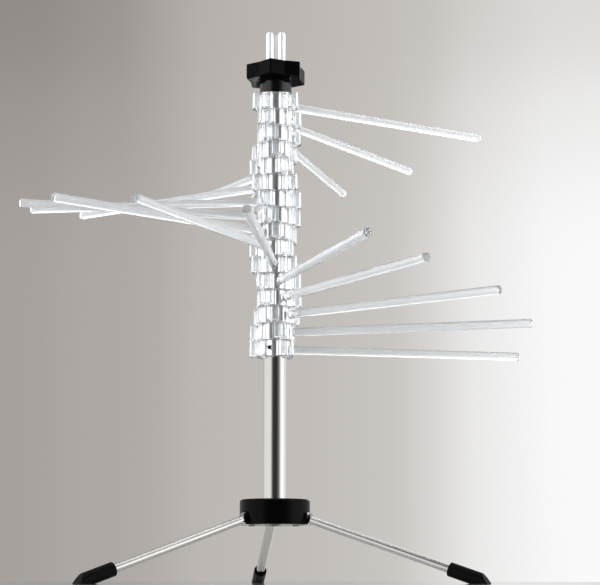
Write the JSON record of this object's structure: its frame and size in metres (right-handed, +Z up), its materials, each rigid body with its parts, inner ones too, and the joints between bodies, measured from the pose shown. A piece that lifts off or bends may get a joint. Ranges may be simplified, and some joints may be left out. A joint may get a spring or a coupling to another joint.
{
  "type": "pasta drying rack",
  "caption": "Free-standing drying rack: clear lobed ring arms fan out round a polished column on folding legs, and a black knob on top closes the fan.",
  "frame": {"origin": "on the column's axis at the height of the soles", "axes": "+Z up along the column, +X to the right and +Y away, as the picture's camera sees it"},
  "size_m": [0.4148, 0.4183, 0.46],
  "materials": {
    "clear_plastic": "clear moulded plastic, glossy",
    "black_plastic": "glossy black moulded plastic",
    "black_rubber": "black soft plastic sleeve, satin",
    "polished_steel": "polished stainless steel",
    "plain_steel": "plain turned steel",
    "dark_steel": "blackened steel"
  },
  "bodies": {
    "stand": {"arm_16": "clear_plastic", "ring_set_screw": "dark_steel", "guide_bush": "black_plastic", "column_tube": "polished_steel", "wand_stop": "black_plastic", "column_plug": "plain_steel", "column_screw": "plain_steel", "hub_body": "black_plastic", "hub_base_plate": "black_plastic", "hub_screws": "plain_steel", "leg_pin_1": "plain_steel", "leg_pin_2": "plain_steel", "leg_pin_3": "plain_steel"},
    "knob": {"knob": "black_plastic", "arm_01": "clear_plastic"},
    "arm_02": {"arm_02": "clear_plastic"},
    "arm_03": {"arm_03": "clear_plastic"},
    "arm_04": {"arm_04": "clear_plastic"},
    "arm_05": {"arm_05": "clear_plastic"},
    "arm_06": {"arm_06": "clear_plastic"},
    "arm_07": {"arm_07": "clear_plastic"},
    "arm_08": {"arm_08": "clear_plastic"},
    "arm_09": {"arm_09": "clear_plastic"},
    "arm_10": {"arm_10": "clear_plastic"},
    "arm_11": {"arm_11": "clear_plastic"},
    "arm_12": {"arm_12": "clear_plastic"},
    "arm_13": {"arm_13": "clear_plastic"},
    "arm_14": {"arm_14": "clear_plastic"},
    "arm_15": {"arm_15": "clear_plastic"},
    "wand": {"wand": "clear_plastic"},
    "leg_1": {"leg_1": "polished_steel", "foot_1": "black_rubber"},
    "leg_2": {"leg_2": "polished_steel", "foot_2": "black_rubber"},
    "leg_3": {"leg_3": "polished_steel", "foot_3": "black_rubber"}
  },
  "joints": [
    {"name": "knob_turn", "type": "hinge", "parent": "stand", "child": "knob", "pos_m": [0, 0, 0.41], "axis": [0, 0, 1], "range_deg": [0, 342]},
    {"name": "arm_02_turn", "type": "hinge", "parent": "stand", "child": "arm_02", "pos_m": [0, 0, 0.3836], "axis": [0, 0, 1], "range_deg": [0, 318]},
    {"name": "arm_03_turn", "type": "hinge", "parent": "stand", "child": "arm_03", "pos_m": [0, 0, 0.3698], "axis": [0, 0, 1], "range_deg": [0, 299]},
    {"name": "arm_04_turn", "type": "hinge", "parent": "stand", "child": "arm_04", "pos_m": [0, 0, 0.356], "axis": [0, 0, 1], "range_deg": [0, 274]},
    {"name": "arm_05_turn", "type": "hinge", "parent": "stand", "child": "arm_05", "pos_m": [0, 0, 0.3422], "axis": [0, 0, 1], "range_deg": [0, 249.5]},
    {"name": "arm_06_turn", "type": "hinge", "parent": "stand", "child": "arm_06", "pos_m": [0, 0, 0.3284], "axis": [0, 0, 1], "range_deg": [0, 224.5]},
    {"name": "arm_07_turn", "type": "hinge", "parent": "stand", "child": "arm_07", "pos_m": [0, 0, 0.3146], "axis": [0, 0, 1], "range_deg": [0, 200]},
    {"name": "arm_08_turn", "type": "hinge", "parent": "stand", "child": "arm_08", "pos_m": [0, 0, 0.3008], "axis": [0, 0, 1], "range_deg": [0, 177]},
    {"name": "arm_09_turn", "type": "hinge", "parent": "stand", "child": "arm_09", "pos_m": [0, 0, 0.287], "axis": [0, 0, 1], "range_deg": [0, 153.5]},
    {"name": "arm_10_turn", "type": "hinge", "parent": "stand", "child": "arm_10", "pos_m": [0, 0, 0.2732], "axis": [0, 0, 1], "range_deg": [0, 129.5]},
    {"name": "arm_11_turn", "type": "hinge", "parent": "stand", "child": "arm_11", "pos_m": [0, 0, 0.2594], "axis": [0, 0, 1], "range_deg": [0, 106.5]},
    {"name": "arm_12_turn", "type": "hinge", "parent": "stand", "child": "arm_12", "pos_m": [0, 0, 0.2456], "axis": [0, 0, 1], "range_deg": [0, 83]},
    {"name": "arm_13_turn", "type": "hinge", "parent": "stand", "child": "arm_13", "pos_m": [0, 0, 0.2318], "axis": [0, 0, 1], "range_deg": [0, 70]},
    {"name": "arm_14_turn", "type": "hinge", "parent": "stand", "child": "arm_14", "pos_m": [0, 0, 0.218], "axis": [0, 0, 1], "range_deg": [0, 48]},
    {"name": "arm_15_turn", "type": "hinge", "parent": "stand", "child": "arm_15", "pos_m": [0, 0, 0.2042], "axis": [0, 0, 1], "range_deg": [0, 26]},
    {"name": "wand_lift", "type": "slide", "parent": "stand", "child": "wand", "axis": [0, 0, 1], "range_m": [0, 0.292]},
    {"name": "leg_1_fold", "type": "hinge", "parent": "stand", "child": "leg_1", "pos_m": [0.01858, -0.00866, 0.0544], "axis": [0.4226, 0.9063, 0], "range_deg": [0, 71]},
    {"name": "leg_2_fold", "type": "hinge", "parent": "stand", "child": "leg_2", "pos_m": [-0.01679, -0.01176, 0.0544], "axis": [0.5736, -0.8192, 0], "range_deg": [0, 71]},
    {"name": "leg_3_fold", "type": "hinge", "parent": "stand", "child": "leg_3", "pos_m": [-0.00179, 0.02042, 0.0544], "axis": [-0.9962, -0.0872, 0], "range_deg": [0, 71]}
  ],
  "couplings": [
    {"joint": "arm_02_turn", "follows": "knob_turn", "ratio": 0.92982},
    {"joint": "arm_03_turn", "follows": "knob_turn", "ratio": 0.87427},
    {"joint": "arm_04_turn", "follows": "knob_turn", "ratio": 0.80117},
    {"joint": "arm_05_turn", "follows": "knob_turn", "ratio": 0.72953},
    {"joint": "arm_06_turn", "follows": "knob_turn", "ratio": 0.65643},
    {"joint": "arm_07_turn", "follows": "knob_turn", "ratio": 0.5848},
    {"joint": "arm_08_turn", "follows": "knob_turn", "ratio": 0.51754},
    {"joint": "arm_09_turn", "follows": "knob_turn", "ratio": 0.44883},
    {"joint": "arm_10_turn", "follows": "knob_turn", "ratio": 0.37865},
    {"joint": "arm_11_turn", "follows": "knob_turn", "ratio": 0.3114},
    {"joint": "arm_12_turn", "follows": "knob_turn", "ratio": 0.24269},
    {"joint": "arm_13_turn", "follows": "knob_turn", "ratio": 0.20468},
    {"joint": "arm_14_turn", "follows": "knob_turn", "ratio": 0.14035},
    {"joint": "arm_15_turn", "follows": "knob_turn", "ratio": 0.076023}
  ]
}
